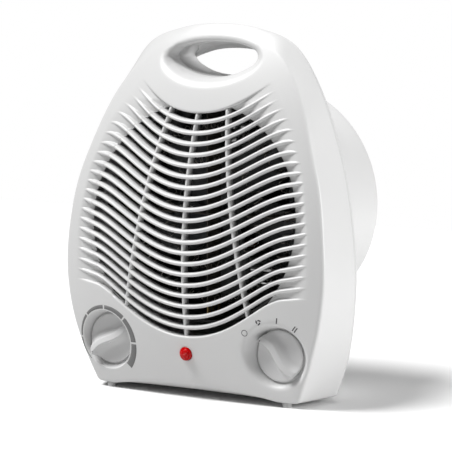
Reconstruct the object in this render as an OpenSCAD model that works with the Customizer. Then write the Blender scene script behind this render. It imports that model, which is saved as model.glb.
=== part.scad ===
// Upright fan convector heater: two-part plastic housing with a carry handle, wavy outlet grille,
// axial fan on a shaded-pole motor, mica-carried heating coils, thermostat and selector.
// Frame: X to the right, Y to the back, Z up; the origin is on the floor under the middle of the box.

/* [Housing] */
// Wall thickness of both housing halves
wall = 2.4; // [1.8:0.2:3]
// Plane where the front and rear housings meet
parting_y = -14; // [-20:1:-8]
// Height of the housing's underside over the floor
base_z = 3.4; // [2.5:0.1:5]
// Spline steps between two outline points
outline_steps = 2; // [2:1:5]

/* [Grille] */
// Radius of the air outlet
outlet_r = 83; // [78:1:86]
// Height of the outlet's centre
outlet_z = 126; // [122:1:130]
// Number of wavy bars
bar_count = 20; // [16:1:22]
// Height of a bar's front
bar_h = 3; // [2.4:0.2:4]
// Depth of a bar from front to back
bar_d = 7; // [5:1:9]
// Lowest and highest bar, at the middle
bar_low_z = 52; // [50:1:54]
bar_high_z = 195; // [190:1:198]

/* [Rear drum] */
// Outside radius of the round air intake drum
drum_r = 86.6; // [84:0.2:88]
// Height of the drum's axis
drum_z = 131; // [129:1:133]
// Rear face of the drum
drum_back_y = 67.5; // [64:0.5:70]
// Number of intake slots
slot_count = 15; // [11:2:17]

/* [Controls] */
// Sideways distance of each knob from the middle
knob_x = 69.7; // [66:0.1:72]
// Height of the knob axes
knob_z = 36.2; // [34:0.1:38]
// Radius of a knob's disc
knob_r = 18; // [16:0.5:18.5]
// Radius of the dish around a knob
dish_r = 22; // [20:0.5:23]
// Radius of the control spindles
spindle_r = 3; // [2.5:0.5:3]
// Height of the signal lamp
lamp_z = 33; // [31:1:35]

/* [Fan and motor] */
// Tip radius of the fan
fan_r = 68; // [60:1:72]
// Number of fan blades
blade_count = 5; // [4:1:7]
// Radius of the motor shaft
shaft_r = 1.6; // [1.5:0.1:2]
// Radial running clearance of shafts in their bearings
running_gap = 0.05; // [0.03:0.01:0.08]

/* [Heater] */
// Inside radius of the duct
duct_r = 76; // [74:1:78]
// Wall of the duct
duct_wall = 1.6; // [1:0.2:2]

/* [Cord outlet] */
// Radius of the opening for the mains cord
gland_r = 3.6; // [3:0.1:4]

/* [Hidden] */

fine = 64;              // facets of a large round in the meshed shells
slip = 0.1;             // what a hole in the meshed shells is wider than the round piece in it
screw_r = 1.5;          // self-tapping screws of the housing and the controls
screw_dx = 9;           // sideways place of the control screws beside their spindle
foot_pin_r = 1.7;       // pin of a foot in the housing's floor
drill_r = 1.6;          // holes for the motor screws and plate screws
rear_face_z = 249;      // top of the flat rear face
rear_edge = 5;          // depth of the rounded edge behind the parting plane
rear_turn = 0.25;       // share of the way to the rear face that this edge takes
boss_r = 4;             // screw bosses inside the housings
boss_bore_r = 1.8;      // clearance hole for a screw
head_bore_r = 3.4;      // counterbore for a screw head
lens_r = 4.9;           // signal lamp lens
lens_stem_r = 4;        // the lens's stem through the housing
lens_seat_y = -60.6;
post_r = 68;            // circle of the posts that carry the motor plate
plate_y = 30.4;         // front face of the motor plate
plate_t = 1.5;
axis_z = 129;           // height of the fan and motor axis
foot_places = [[-73, -46.5], [73, -46.5], [-50, 28], [50, 28]];
boss_places = [[-94, 128], [94, 128], [-90, 66], [90, 66], [-62, 222], [62, 222]];
screw_head_y = parting_y + 12;
plate_screw_r = 1.4;

// Half outlines, bottom to top, as [x, z]: the front crease, the widest outline and the rear face
crease = [[83, base_z], [94.5, 32], [103, 62], [106, 97], [101, 143], [91, 176], [75, 215],
          [54, 241], [28, 253.5], [0, 256.8]];
widest = [[94, base_z], [103.5, 32], [107.8, 62], [109, 97], [103.6, 143], [95.5, 178],
          [80.5, 218.5], [60, 248.5], [30.5, 260], [0, 263]];
rear_face = [[62, base_z], [72, 32], [84, 62], [91, 97], [89, 143], [82, 176], [66, 212],
             [48, 235], [24, 246], [0, rear_face_z]];

// Depth of the front surface: a shallow pillow that leans back towards the top
mid_z = 121.5;
function front_y(x, z) = let (u = x / 97.2, v = (z - mid_z) / mid_z)
    -67.2 + 9.2 * u ^ 2 + 2 * u ^ 4 + 10.8 * v + 26.6 * v ^ 2 + 4.2 * u ^ 2 * v + 1.9 * v ^ 3;

// Depth of the rear surface beside the drum: it runs further back at the base
function rear_y(z) = 12 + 30 * max(0, (90 - z) / 87) ^ 2;

// Rise of a grille bar or edge at x, for one whose middle is at height z
function wave(x, z) = let (u = x / 58.3, v = (z - mid_z) / mid_z)
    (27.8 + 1.1 * v - 10.1 * v ^ 2) * u ^ 2 + (-7 + 2.1 * v + 29.5 * v ^ 2) * u ^ 4
    + (0.2 - 2.4 * v - 13.2 * v ^ 2) * u ^ 6;

function lerp(a, b, t) = a + (b - a) * t;
function spline(p, k, t) = let (a = p[max(k - 1, 0)], b = p[k], c = p[k + 1],
                                d = p[min(k + 2, len(p) - 1)])
    0.5 * (2 * b + (c - a) * t + (2 * a - 5 * b + 4 * c - d) * t ^ 2
           + (3 * b - a - 3 * c + d) * t ^ 3);
function whole(half) = concat(half, [for (i = [len(half) - 2:-1:0]) [-half[i].x, half[i].y]]);
function smooth(full) = concat([for (k = [0:len(full) - 2], s = [0:outline_steps - 1])
                                    spline(full, k, s / outline_steps)], [full[len(full) - 1]]);
function closed(half) = let (arc = smooth(whole(half)), n = 6, last = arc[len(arc) - 1])
    concat(arc, [for (i = [1:n - 1]) lerp(last, arc[0], i / n)]);
function grown(outline, by) = let (c = [0, 120])
    [for (p = outline) let (d = p - c)
        [p.x + by * d.x / norm(d), max(p.y + by * d.y / norm(d), base_z - by)]];

crease_ring = closed(crease);
widest_ring = closed(widest);
rear_ring = closed(rear_face);

// Solid between rings of points that run from front to back, closed by a tip at each end
module loft(rings, front_tip, back_tip) {
    n = len(rings[0]);
    m = len(rings);
    points = concat([front_tip], [for (r = rings) for (p = r) p], [back_tip]);
    function at(i, j) = 1 + i * n + j % n;
    faces = concat(
        [for (j = [0:n - 1]) [0, at(0, j + 1), at(0, j)]],
        [for (i = [0:m - 2], j = [0:n - 1]) [at(i, j), at(i, j + 1), at(i + 1, j + 1)]],
        [for (i = [0:m - 2], j = [0:n - 1]) [at(i, j), at(i + 1, j + 1), at(i + 1, j)]],
        [for (j = [0:n - 1]) [m * n + 1, at(m - 1, j), at(m - 1, j + 1)]]);
    polyhedron(points, faces, convexity = 8);
}

// The volume inside the front housing's skin, drawn in by inset
module front_volume(inset) {
    c = [0, 120];
    edge = grown(crease_ring, -inset);
    rim = grown(widest_ring, -inset);
    face_rings = [for (s = [0.2, 0.4, 0.6, 0.8, 0.92, 0.985])
        [for (p = edge) let (q = lerp(c, p, s)) [q.x, front_y(q.x, q.y) + inset, q.y]]];
    side_rings = [for (t = [0, 0.35, 0.7, 1])
        [for (i = [0:len(edge) - 1]) let (q = lerp(edge[i], rim[i], t * (3 - t) / 2),
                                          y0 = front_y(edge[i].x, edge[i].y) + 1 + inset)
            [q.x, lerp(y0, parting_y, t), q.y]]];
    overrun = inset > 0 ? [[for (p = rim) [p.x, parting_y + 1, p.y]]] : [];
    back = inset > 0 ? parting_y + 1 : parting_y;
    loft(concat(face_rings, side_rings, overrun), [c.x, front_y(c.x, c.y) + inset, c.y],
         [c.x, back, c.y]);
}

// The volume inside the rear housing's skin without its drum, drawn in by inset
module rear_volume(inset) {
    rim = grown(widest_ring, -inset);
    face = grown(rear_ring, -inset);
    rings = [for (a = [0:30:90]) [for (i = [0:len(rim) - 1])
        let (q = lerp(rim[i], face[i], rear_turn * (1 - cos(a))))
            [q.x, parting_y + (rear_edge - inset / 2) * sin(a), q.y]]];
    lead = inset > 0 ? [[for (p = rim) [p.x, parting_y - 1, p.y]]] : [];
    front = inset > 0 ? parting_y - 1 : parting_y;
    inner = [for (s = [1, 0.6, 0.25]) [for (p = face) let (q = lerp([0, 120], p, s))
        [q.x, rear_y(q.y) - inset, q.y]]];
    loft(concat(lead, rings, inner), [0, front, 120], [0, rear_y(120) - inset, 120]);
}

// A flat shape in X and Z, extruded from y0 to y1
module along_y(y0, y1) {
    translate([0, y1, 0]) rotate([90, 0, 0]) linear_extrude(y1 - y0, convexity = 6) children();
}

module rod(r, y0, y1, x, z, sides = 48) {
    translate([x, y0, z]) rotate([-90, 0, 0]) cylinder(r = r, h = y1 - y0, $fn = sides);
}

module ring(r_out, r_in, y0, y1, x, z) {
    difference() {
        rod(r_out, y0, y1, x, z);
        rod(r_in, y0 - 1, y1 + 1, x, z);
    }
}

// The eye-shaped finger hole of the carry handle, grown by the given amount
module handle_hole_2d(grow) {
    offset(r = grow, $fn = 24) polygon(smooth([[-35, 240], [-31.5, 234], [-18, 227.8], [0, 225.5],
        [18, 227.8], [31.5, 234], [35, 240], [31, 245.2], [17, 249.3], [0, 250.5], [-17, 249.3],
        [-31, 245.2], [-35, 240]]));
}

// The outlet: a circle cut off by the wavy upper and lower edges
module outlet_2d() {
    low = bar_low_z - 7;
    high = bar_high_z + 6;
    xs = [for (x = [-84:12:84]) x];
    intersection() {
        translate([0, outlet_z]) circle(outlet_r, $fn = fine);
        polygon(concat([for (x = xs) [x, low + wave(x, low)]],
                       [for (i = [len(xs) - 1:-1:0]) [xs[i], high + wave(xs[i], high)]]));
    }
}

// Half length of the bar whose middle is at height z, up to the outlet's rim
function bar_reach(z, x = 20) = x > 84 || norm([x, z + wave(x, z) - outlet_z]) > outlet_r + 0.8
    ? x : bar_reach(z, x + 1);

module grille_bar(z) {
    reach = bar_reach(z);
    n = 10;
    rings = [for (i = [0:n]) let (x = lerp(-reach, reach, i / n), h = z + wave(x, z),
                                  y = front_y(x, h))
        [[x, y + 0.2, h + 0.3 * bar_h], [x, y + bar_d, h + 0.35 * bar_h],
         [x, y + bar_d, h - 0.35 * bar_h], [x, y + 1.2, h - 0.5 * bar_h]]];
    faces = concat([[3, 2, 1, 0]],
        [for (i = [0:n - 1], j = [0:3]) [4 * i + j, 4 * i + 4 + (j + 1) % 4, 4 * i + 4 + j]],
        [for (i = [0:n - 1], j = [0:3]) [4 * i + j, 4 * i + (j + 1) % 4, 4 * i + 4 + (j + 1) % 4]],
        [[4 * n, 4 * n + 1, 4 * n + 2, 4 * n + 3]]);
    polyhedron([for (r = rings) for (p = r) p], faces, convexity = 4);
}

// Upright ribs behind the bars: straight in front view, following the front surface
function rib_x(side, z) = side * (39 - 0.19 * (z - mid_z));
module grille_rib(side) {
    for (i = [0:5]) {
        hull() for (k = [i, i + 1]) {
            z = lerp(bar_low_z - 8, bar_high_z + 8, k / 6) + (side == 0 ? 0 : lerp(22, 10, k / 6));
            x = rib_x(side, z);
            translate([x - 1.1, front_y(x, z) + 2, z - 0.5]) cube([2.2, bar_d - 0.5, 1]);
        }
    }
}

dish_floor_y = front_y(knob_x, knob_z) + 9.7;
module dish(x, grow) {
    hull() {
        rod(dish_r + grow, dish_floor_y - 24, dish_floor_y - 7.2 + grow / 2, x, knob_z, 48);
        rod(dish_r - 2.4 + grow, dish_floor_y - 24, dish_floor_y + grow, x, knob_z, 48);
    }
}

module foot_holes() {
    for (p = foot_places) translate([p.x, p.y, 0]) cylinder(r = foot_pin_r + slip, h = 12, $fn = 16);
}

module front_housing() {
    color("whitesmoke") difference() {
        union() {
            difference() {
                front_volume(0);
                front_volume(wall);
                along_y(-80, -20) outlet_2d();
            }
            intersection() {
                front_volume(wall / 2);
                union() {
                    along_y(-60, parting_y) handle_hole_2d(wall);
                    for (x = [-knob_x, knob_x]) dish(x, wall);
                    for (p = boss_places) rod(boss_r, -62, parting_y, p.x, p.y, 16);
                    rod(lens_r + 2, -80, -57, 0, lamp_z, 24);
                }
            }
            for (k = [0:bar_count - 1]) grille_bar(lerp(bar_low_z, bar_high_z, k / (bar_count - 1)));
            for (side = [-1, 0, 1]) grille_rib(side);
        }
        along_y(-80, 0) handle_hole_2d(0);
        for (x = [-knob_x, knob_x]) {
            dish(x, 0);
            rod(spindle_r + 2.2, -80, -20, x, knob_z, 24);
        }
        for (p = boss_places) rod(screw_r + slip, parting_y - 12, parting_y + 1, p.x, p.y, 16);
        rod(lens_stem_r + slip, -80, -40, 0, lamp_z, 24);
        rod(lens_r + slip, -80, lens_seat_y, 0, lamp_z, 24);
        for (x = [-knob_x, knob_x], dx = [-screw_dx, screw_dx])
            rod(screw_r + slip, -60, -40, x + dx, knob_z, 12);
        foot_holes();
    }
}

gland_place = [52, 12];   // x and z of the cord outlet
gland_wall = 2.4;

module drum(inset, y0) {
    edge = 5;
    translate([0, 0, drum_z]) rotate([-90, 0, 0]) rotate_extrude($fn = fine)
        polygon(concat([[0, y0], [drum_r + 1.6 - inset, y0]],
            [for (a = [0:22.5:90]) [drum_r - edge + (edge - inset) * cos(a),
                                    drum_back_y - edge + (edge - inset) * sin(a)]],
            [[0, drum_back_y - inset]]));
}

// Left and right end of the slots in each column
slot_columns = [[-62, -33], [-30, -2], [2, 30], [33, 62]];
module intake_slots_2d() {
    pitch = 2 * (drum_r - 14) / slot_count;
    intersection() {
        translate([0, drum_z]) circle(drum_r - 13, $fn = fine);
        for (i = [0:slot_count - 1], column = slot_columns)
            translate([column[0], drum_z + (i - (slot_count - 1) / 2 - 0.3) * pitch])
                square([column[1] - column[0], 0.6 * pitch]);
    }
}

module rear_housing() {
    color("whitesmoke") difference() {
        union() {
            difference() {
                union() {
                    rear_volume(0);
                    drum(0, parting_y + 16);
                }
                rear_volume(wall);
                drum(wall, parting_y);
            }
            intersection() {
                rear_volume(wall / 2);
                union() {
                    along_y(parting_y, 40) handle_hole_2d(wall);
                    for (p = boss_places) rod(boss_r, parting_y, 40, p.x, p.y, 16);
                }
            }
            for (a = [45:90:315]) hull() {
                rod(4, plate_y + plate_t, 60, post_r * cos(a), axis_z + post_r * sin(a), 12);
                rod(4, 60, 65.5, post_r * cos(a), axis_z + post_r * sin(a), 12);
            }
            for (s = [-1, 1]) hull() for (y = [0, 20])
                translate([s * 30, y, base_z + wall / 2]) cylinder(r = 3, h = 6, $fn = 12);
        }
        along_y(-40, 60) handle_hole_2d(0);
        along_y(drum_back_y - 12, drum_back_y + 2) intake_slots_2d();
        for (p = boss_places) {
            rod(boss_bore_r, parting_y - 1, 60, p.x, p.y, 16);
            rod(head_bore_r, screw_head_y, 60, p.x, p.y, 16);
        }
        for (a = [45:90:315])
            rod(plate_screw_r + slip, plate_y, plate_y + 14, post_r * cos(a), axis_z + post_r * sin(a), 12);
        foot_holes();
        rod(gland_r + gland_wall + slip, 0, 80, gland_place.x, gland_place.y, 32);
    }
}

// Heater: round duct with an inward flange at its back
duct_front_y = -34;
module heater_duct() {
    color("silver") difference() {
        union() {
            ring(duct_r + duct_wall, duct_r, duct_front_y, plate_y, 0, axis_z);
            ring(duct_r + duct_wall, 62, plate_y - duct_wall, plate_y, 0, axis_z);
        }
        for (a = [45:90:315]) rod(drill_r, 0, 40, post_r * cos(a), axis_z + post_r * sin(a), 24);
    }
}

coil_y = -24;
coil_wire_r = 2;
module torus(r, thick) {
    translate([0, coil_y, axis_z]) rotate([-90, 0, 0]) rotate_extrude($fn = 72)
        translate([r, 0]) circle(thick, $fn = 24);
}

module mica_cross() {
    span = duct_r - 0.2;
    color("tan") difference() {
        union() {
            translate([-span, coil_y - 9, axis_z - 0.5]) cube([2 * span, 18, 1]);
            translate([-0.5, coil_y - 9, axis_z - span]) cube([1, 18, 2 * span]);
        }
        torus(38, coil_wire_r + 0.2);
        torus(62, coil_wire_r + 0.2);
    }
}

module inner_coil() { color("gray") torus(38, coil_wire_r); }
module outer_coil() { color("gray") torus(62, coil_wire_r); }

module coil_terminals() {
    color("gold") for (dy = [-8, -1, 6])
        translate([0.5, coil_y + dy - 2, axis_z - 74]) cube([0.8, 4, 8]);
}

module thermal_cutout() {
    color("dimgray") {
        translate([14, coil_y - 6, axis_z + 0.5]) cube([14, 12, 4]);
        translate([21, coil_y, axis_z + 4.5]) cylinder(r = 4.5, h = 1.6, $fn = 48);
    }
}

module thermal_fuse() {
    color("lightgray") {
        translate([-28, coil_y, axis_z + 2.4]) rotate([0, 90, 0]) cylinder(r = 1.9, h = 11, $fn = 32);
        for (x = [-33, -17]) translate([x, coil_y, axis_z + 2.4]) rotate([0, 90, 0])
            cylinder(r = 0.5, h = 5, $fn = 24);
    }
}

// Fan and motor
hub_front_y = -8;
hub_back_y = 8;
blade_pitch = 30;
module fan_impeller() {
    hub_r = 15;
    chord = 38;
    color("gainsboro") difference() {
        union() {
            rod(hub_r, hub_front_y, hub_back_y, 0, axis_z, 64);
            intersection() {
                rod(fan_r, -30, 30, 0, axis_z, 96);
                for (i = [0:blade_count - 1]) translate([0, 0, axis_z])
                    rotate([0, i * 360 / blade_count + 18, 0]) rotate([blade_pitch, 0, 0])
                        translate([hub_r - 2, -0.8, -chord / 2]) cube([fan_r, 1.6, chord]);
            }
        }
        rod(shaft_r, -40, 40, 0, axis_z, 32);
    }
}

module impeller_nut() {
    color("dimgray") difference() {
        rod(4.5, hub_front_y - 5, hub_front_y, 0, axis_z, 6);
        rod(shaft_r, hub_front_y - 4, hub_front_y + 1, 0, axis_z, 32);
    }
}

motor_front_y = 39;
motor_back_y = 57;
rotor_r = 11.6;
module motor_shaft() { color("silver") rod(shaft_r, hub_front_y - 4, motor_back_y + 5, 0, axis_z, 32); }

module motor_rotor() {
    color("darkgray") ring(rotor_r, shaft_r, motor_front_y + 1, motor_back_y - 1, 0, axis_z);
}

module motor_stator() {
    color("slategray") difference() {
        translate([-26, motor_front_y, axis_z - 40]) cube([52, motor_back_y - motor_front_y, 60]);
        rod(rotor_r + 0.5, 0, 80, 0, axis_z, 64);
        for (s = [-1, 1]) {
            translate([s * 13.5 - 6.5, 0, axis_z - 34]) cube([13, 80, 18]);
            rod(drill_r, 0, 80, s * 20, axis_z + 13, 32);
        }
    }
}

leg_half = 7;           // half width of the stator's core leg
module coil_bobbin() {
    color("white") difference() {
        union() {
            translate([-9, motor_front_y - 2, axis_z - 33.8]) cube([18, 22, 17.6]);
            for (z = [-33.8, -17.4]) translate([-18, motor_front_y - 6, axis_z + z]) cube([36, 30, 1.2]);
        }
        translate([-leg_half, motor_front_y, axis_z - 40]) cube([2 * leg_half, 18, 40]);
        for (s = [-1, 1]) translate([s * 23 - 3, motor_front_y, axis_z - 40]) cube([6, 18, 40]);
    }
}

module motor_winding() {
    color("chocolate") difference() {
        translate([-17, motor_front_y - 5, axis_z - 32.3]) cube([34, 28, 14.7]);
        translate([-9, motor_front_y - 2, axis_z - 40]) cube([18, 22, 40]);
    }
}

module motor_bracket(y0, y1, boss_y0, boss_y1) {
    difference() {
        union() {
            translate([-25, y0, axis_z + 5]) cube([50, y1 - y0, 14]);
            translate([-9, y0, axis_z - 9]) cube([18, y1 - y0, 15]);
            rod(7, boss_y0, boss_y1, 0, axis_z, 48);
        }
        rod(4, 0, 80, 0, axis_z, 48);
        for (s = [-1, 1]) rod(drill_r, 0, 80, s * 20, axis_z + 13, 32);
    }
}

module motor_front_bracket() {
    color("lightsteelblue") motor_bracket(motor_front_y - 2, motor_front_y, motor_front_y - 5, motor_front_y);
}

module motor_rear_bracket() {
    color("lightsteelblue") motor_bracket(motor_back_y, motor_back_y + 2, motor_back_y, motor_back_y + 5);
}

module motor_bearings() {
    color("peru") {
        ring(4, shaft_r + running_gap, motor_front_y - 5, motor_front_y, 0, axis_z);
        ring(4, shaft_r + running_gap, motor_back_y, motor_back_y + 4, 0, axis_z);
    }
}

module motor_screws() {
    color("silver") for (s = [-1, 1]) {
        rod(drill_r, plate_y, motor_back_y + 4, s * 20, axis_z + 13, 32);
        rod(3, plate_y - 2, plate_y, s * 20, axis_z + 13, 32);
        rod(3, motor_back_y + 2, motor_back_y + 4, s * 20, axis_z + 13, 6);
        ring(3, drill_r, plate_y + plate_t, motor_front_y - 2, s * 20, axis_z + 13);
    }
}

module motor_plate() {
    color("silver") difference() {
        union() {
            ring(duct_r - 1, 64, plate_y, plate_y + plate_t, 0, axis_z);
            rod(28, plate_y, plate_y + plate_t, 0, axis_z, 64);
            for (a = [0:90:270]) translate([0, plate_y, axis_z]) rotate([0, a + 45, 0])
                translate([20, 0, -6]) cube([48, plate_t, 12]);
        }
        rod(8.5, 0, 60, 0, axis_z, 48);
        for (s = [-1, 1]) rod(drill_r, 0, 80, s * 20, axis_z + 13, 32);
        for (a = [45:90:315]) rod(drill_r, 0, 80, post_r * cos(a), axis_z + post_r * sin(a), 24);
    }
}

module plate_screws() {
    y = plate_y - duct_wall;
    color("silver") for (a = [45:90:315]) {
        x = post_r * cos(a);
        z = axis_z + post_r * sin(a);
        rod(plate_screw_r, y, plate_y + 13, x, z, 24);
        rod(3, y - 2, y, x, z, 24);
    }
}

// Small screws that pin the mica plates to the duct
module duct_screws() {
    color("silver") for (a = [0:90:270]) translate([0, coil_y, axis_z]) rotate([0, a, 0])
        translate([duct_r + duct_wall, 0, 0]) rotate([0, 90, 0]) cylinder(r = 2.2, h = 1.4, $fn = 24);
}

// Controls: knob on a spindle, spindle in a switch body behind the dish
knob_back_y = dish_floor_y - 0.7;
knob_face_y = knob_back_y - 1.8;
knob_top_y = knob_face_y - 7;
spindle_front_y = knob_top_y + 3;
ridge_end = 14;         // distance of the ridge's round ends from the knob's axis
body_front_y = dish_floor_y + wall + 0.3;
module knob(x, pointer) {
    difference() {
        union() {
            rod(knob_r, knob_face_y, knob_back_y, x, knob_z, 96);
            hull() for (s = [-1, 1])
                rod(3.4, knob_top_y, knob_back_y - 1, x + s * ridge_end * cos(pointer),
                    knob_z + s * ridge_end * sin(pointer), 32);
        }
        rod(spindle_r, spindle_front_y, -20, x, knob_z);
    }
}

module spindle(x) { rod(spindle_r, spindle_front_y, -31, x, knob_z); }

module control_body(x, half, back_y) {
    difference() {
        union() {
            translate([x - half, body_front_y, knob_z - half])
                cube([2 * half, back_y - body_front_y, 2 * half]);
            rod(spindle_r + 2, dish_floor_y + 0.2, body_front_y, x, knob_z);
        }
        rod(spindle_r + running_gap, -70, 0, x, knob_z);
        for (dx = [-screw_dx, screw_dx]) rod(screw_r, -70, 0, x + dx, knob_z, 24);
    }
}

module control_screws(x, back_y) {
    for (dx = [-screw_dx, screw_dx]) {
        rod(screw_r, dish_floor_y + 0.2, back_y, x + dx, knob_z, 24);
        rod(2.8, back_y, back_y + 1.6, x + dx, knob_z, 24);
    }
}

module thermostat_knob() { color("darkgray") knob(-knob_x, 214); }
module thermostat_spindle() { color("silver") spindle(-knob_x); }
module thermostat_body() { color("tan") control_body(-knob_x, 13, -35); }
module thermostat_screws() { color("silver") control_screws(-knob_x, -35); }
module selector_knob() { color("darkgray") knob(knob_x, 142); }
module selector_spindle() { color("silver") spindle(knob_x); }
module selector_switch() {
    color("dimgray") control_body(knob_x, 14, -35);
    color("gold") for (dz = [-10, -5, 5, 10])
        translate([knob_x + (dz > 0 ? -6 : 6), -35, knob_z + dz]) cube([5, 6, 0.8]);
}
module selector_screws() { color("silver") control_screws(knob_x, -35); }

// Signal lamp
module indicator_lens() {
    color("red") {
        rod(lens_stem_r, lens_seat_y, -56, 0, lamp_z);
        rod(lens_r, lens_seat_y - 2, lens_seat_y, 0, lamp_z);
        translate([0, lens_seat_y - 2, lamp_z]) rotate([90, 0, 0])
            cylinder(r1 = lens_r, r2 = 2, h = 2, $fn = 48);
    }
}
module neon_lamp() { color("orange") rod(2.4, -55.5, -45, 0, lamp_z); }
module lamp_sleeve() { color("white") ring(4, 2.6, -56, -47, 0, lamp_z); }

// Wiring inside the base
block_y = 6;
module terminal_block() {
    color("ivory") difference() {
        translate([-20, -block_y, base_z + wall]) cube([40, 2 * block_y, 12]);
        for (x = [-12, 0, 12]) translate([x, 0, base_z + wall + 7]) cylinder(r = 2.2, h = 10, $fn = 32);
    }
}

// A wire with square turns through the given points
module wire(points, r = 1.2) {
    for (i = [0:len(points) - 2]) {
        d = points[i + 1] - points[i];
        turn = abs(d.x) > 0 ? [0, sign(d.x) * 90, 0] : abs(d.y) > 0 ? [-sign(d.y) * 90, 0, 0]
            : [d.z < 0 ? 180 : 0, 0, 0];
        translate(points[i]) rotate(turn) cylinder(r = r, h = norm(d), $fn = 24);
        if (i > 0) translate(points[i]) sphere(r = r, $fn = 24);
    }
}

wire_z = base_z + wall + 5;
module supply_wires() {
    color("saddlebrown") wire([[50, 24, gland_place.y], [50, 3, gland_place.y], [20, 3, gland_place.y]]);
    color("royalblue") wire([[54, 24, gland_place.y], [54, -3, gland_place.y], [20, -3, gland_place.y]]);
}

module control_wires() {
    selector_x = knob_x + 8;
    color("black") wire([[14, -block_y, wire_z], [14, -22, wire_z], [selector_x, -22, wire_z],
        [selector_x, -22, knob_z - 9.6], [selector_x, -29, knob_z - 9.6]]);
    color("red") wire([[-14, -block_y, wire_z], [-14, -22, wire_z], [-knob_x, -22, wire_z],
        [-knob_x, -22, knob_z - 8], [-knob_x, -34.8, knob_z - 8]]);
}

module cord_gland() {
    color("white") {
        ring(gland_r + gland_wall, gland_r, 26, 46, gland_place.x, gland_place.y);
        ring(gland_r + gland_wall + 2, gland_r, 42, 45, gland_place.x, gland_place.y);
    }
}

clamp_y = 13;
module cord_clamp() {
    color("ivory") difference() {
        translate([gland_place.x - 12, clamp_y, base_z + wall]) cube([24, 8, 12]);
        translate([gland_place.x - 5, clamp_y - 1, base_z + wall - 1]) cube([10, 10, 10]);
        for (s = [-9, 9]) translate([gland_place.x + s, clamp_y + 4, base_z])
            cylinder(r = screw_r, h = 30, $fn = 24);
    }
}
module clamp_screws() {
    color("silver") for (s = [-9, 9]) translate([gland_place.x + s, clamp_y + 4, base_z + wall]) {
        cylinder(r = 1.5, h = 12, $fn = 24);
        translate([0, 0, 12]) cylinder(r = 2.6, h = 1.6, $fn = 24);
    }
}

module feet() {
    color("gainsboro") for (p = foot_places) translate([p.x, p.y, 0]) {
        cylinder(r = 3.2, h = base_z, $fn = 48);
        cylinder(r = foot_pin_r, h = base_z + wall, $fn = 24);
    }
}

module housing_screws() {
    color("silver") for (p = boss_places) {
        rod(screw_r, parting_y - 10, screw_head_y, p.x, p.y, 24);
        rod(head_bore_r - 0.2, screw_head_y, screw_head_y + 2.4, p.x, p.y, 24);
    }
}

front_housing();
rear_housing();
heater_duct();
mica_cross();
inner_coil();
outer_coil();
coil_terminals();
thermal_cutout();
thermal_fuse();
fan_impeller();
impeller_nut();
motor_shaft();
motor_rotor();
motor_stator();
coil_bobbin();
motor_winding();
motor_front_bracket();
motor_rear_bracket();
motor_bearings();
motor_screws();
motor_plate();
plate_screws();
duct_screws();
thermostat_knob();
thermostat_spindle();
thermostat_body();
thermostat_screws();
selector_knob();
selector_spindle();
selector_switch();
selector_screws();
indicator_lens();
neon_lamp();
lamp_sleeve();
terminal_block();
supply_wires();
control_wires();
cord_gland();
cord_clamp();
clamp_screws();
feet();
housing_screws();
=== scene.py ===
"""Upright fan convector heater: final meshes, materials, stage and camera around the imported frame."""
import math

import bmesh
import bpy
import numpy as np
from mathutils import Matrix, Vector, kdtree
from mathutils.geometry import delaunay_2d_cdt


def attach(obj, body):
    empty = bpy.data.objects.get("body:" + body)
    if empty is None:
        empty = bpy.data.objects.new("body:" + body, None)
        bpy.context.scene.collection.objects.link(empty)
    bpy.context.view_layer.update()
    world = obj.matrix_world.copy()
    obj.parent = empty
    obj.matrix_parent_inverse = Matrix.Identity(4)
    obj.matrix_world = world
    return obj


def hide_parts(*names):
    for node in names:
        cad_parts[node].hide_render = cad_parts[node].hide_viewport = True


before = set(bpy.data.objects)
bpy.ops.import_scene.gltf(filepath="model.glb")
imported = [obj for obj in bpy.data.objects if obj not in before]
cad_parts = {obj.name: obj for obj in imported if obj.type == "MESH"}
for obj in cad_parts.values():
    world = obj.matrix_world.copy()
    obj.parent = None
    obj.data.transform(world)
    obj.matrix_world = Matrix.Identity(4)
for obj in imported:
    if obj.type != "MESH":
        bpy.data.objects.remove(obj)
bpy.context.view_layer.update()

MM = 0.001

# ---------------------------------------------------------------- sizes, in millimetres
BASE_Z = 3.4
PARTING_Y = -14.0
WALL = 2.4
MID_Z = 121.5
OUTLET_R, OUTLET_Z = 83.0, 126.0
BAR_LOW, BAR_HIGH, BAR_COUNT = 52.0, 195.0, 20
PITCH = (BAR_HIGH - BAR_LOW) / (BAR_COUNT - 1)
CROWN_HALF, CROWN_DEEP, BAR_DEEP = 1.6, 2.6, 8.0
WAVE_UNIT, WAVE_END = 58.3, 76.0
KNOB_X, KNOB_Z, KNOB_R, DISH_R, SOFT_DISH_R = 69.7, 36.2, 18.0, 22.0, 24.5
DISH_FLOOR_R, DISH_DEEP = 19.0, 9.7
DISC_THICK, RIDGE_TALL = 1.8, 7.0
REAR_EDGE, REAR_TURN = 5.0, 0.25
BASE_ARCH, ARCH_REACH, ARCH_LEFT = 7.5, 0.2, 0.32
LOUVRE_RISE, LOUVRE_DEEP = 4.7, 4.2
LAMP_Z, LAMP_R = 33.0, 4.9
DRUM_R, DRUM_Z, DRUM_BACK = 86.6, 131.0, 67.5
AXIS_Z = 129.0
HANDLE_ROUND = 4                        # rounding of the rear shell at the finger hole
HOUSING_SCREWS = [(-94, 128), (94, 128), (-90, 66), (90, 66), (-62, 222), (62, 222)]
CREASE = [(83, BASE_Z), (94.5, 32), (103, 62), (106, 97), (101, 143), (91, 176), (75, 215), (54, 241),
          (28, 253.5), (0, 256.8)]
WIDEST = [(94, BASE_Z), (103.5, 32), (107.7, 62), (108.75, 97), (103.6, 143), (95.5, 178), (80.5, 218.5),
          (60, 248.5), (30.5, 260), (0, 263)]
REAR_FACE = [(62, BASE_Z), (72, 32), (84, 62), (91, 97), (89, 143), (82, 176), (66, 212), (48, 235),
             (24, 246), (0, 249)]
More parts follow.
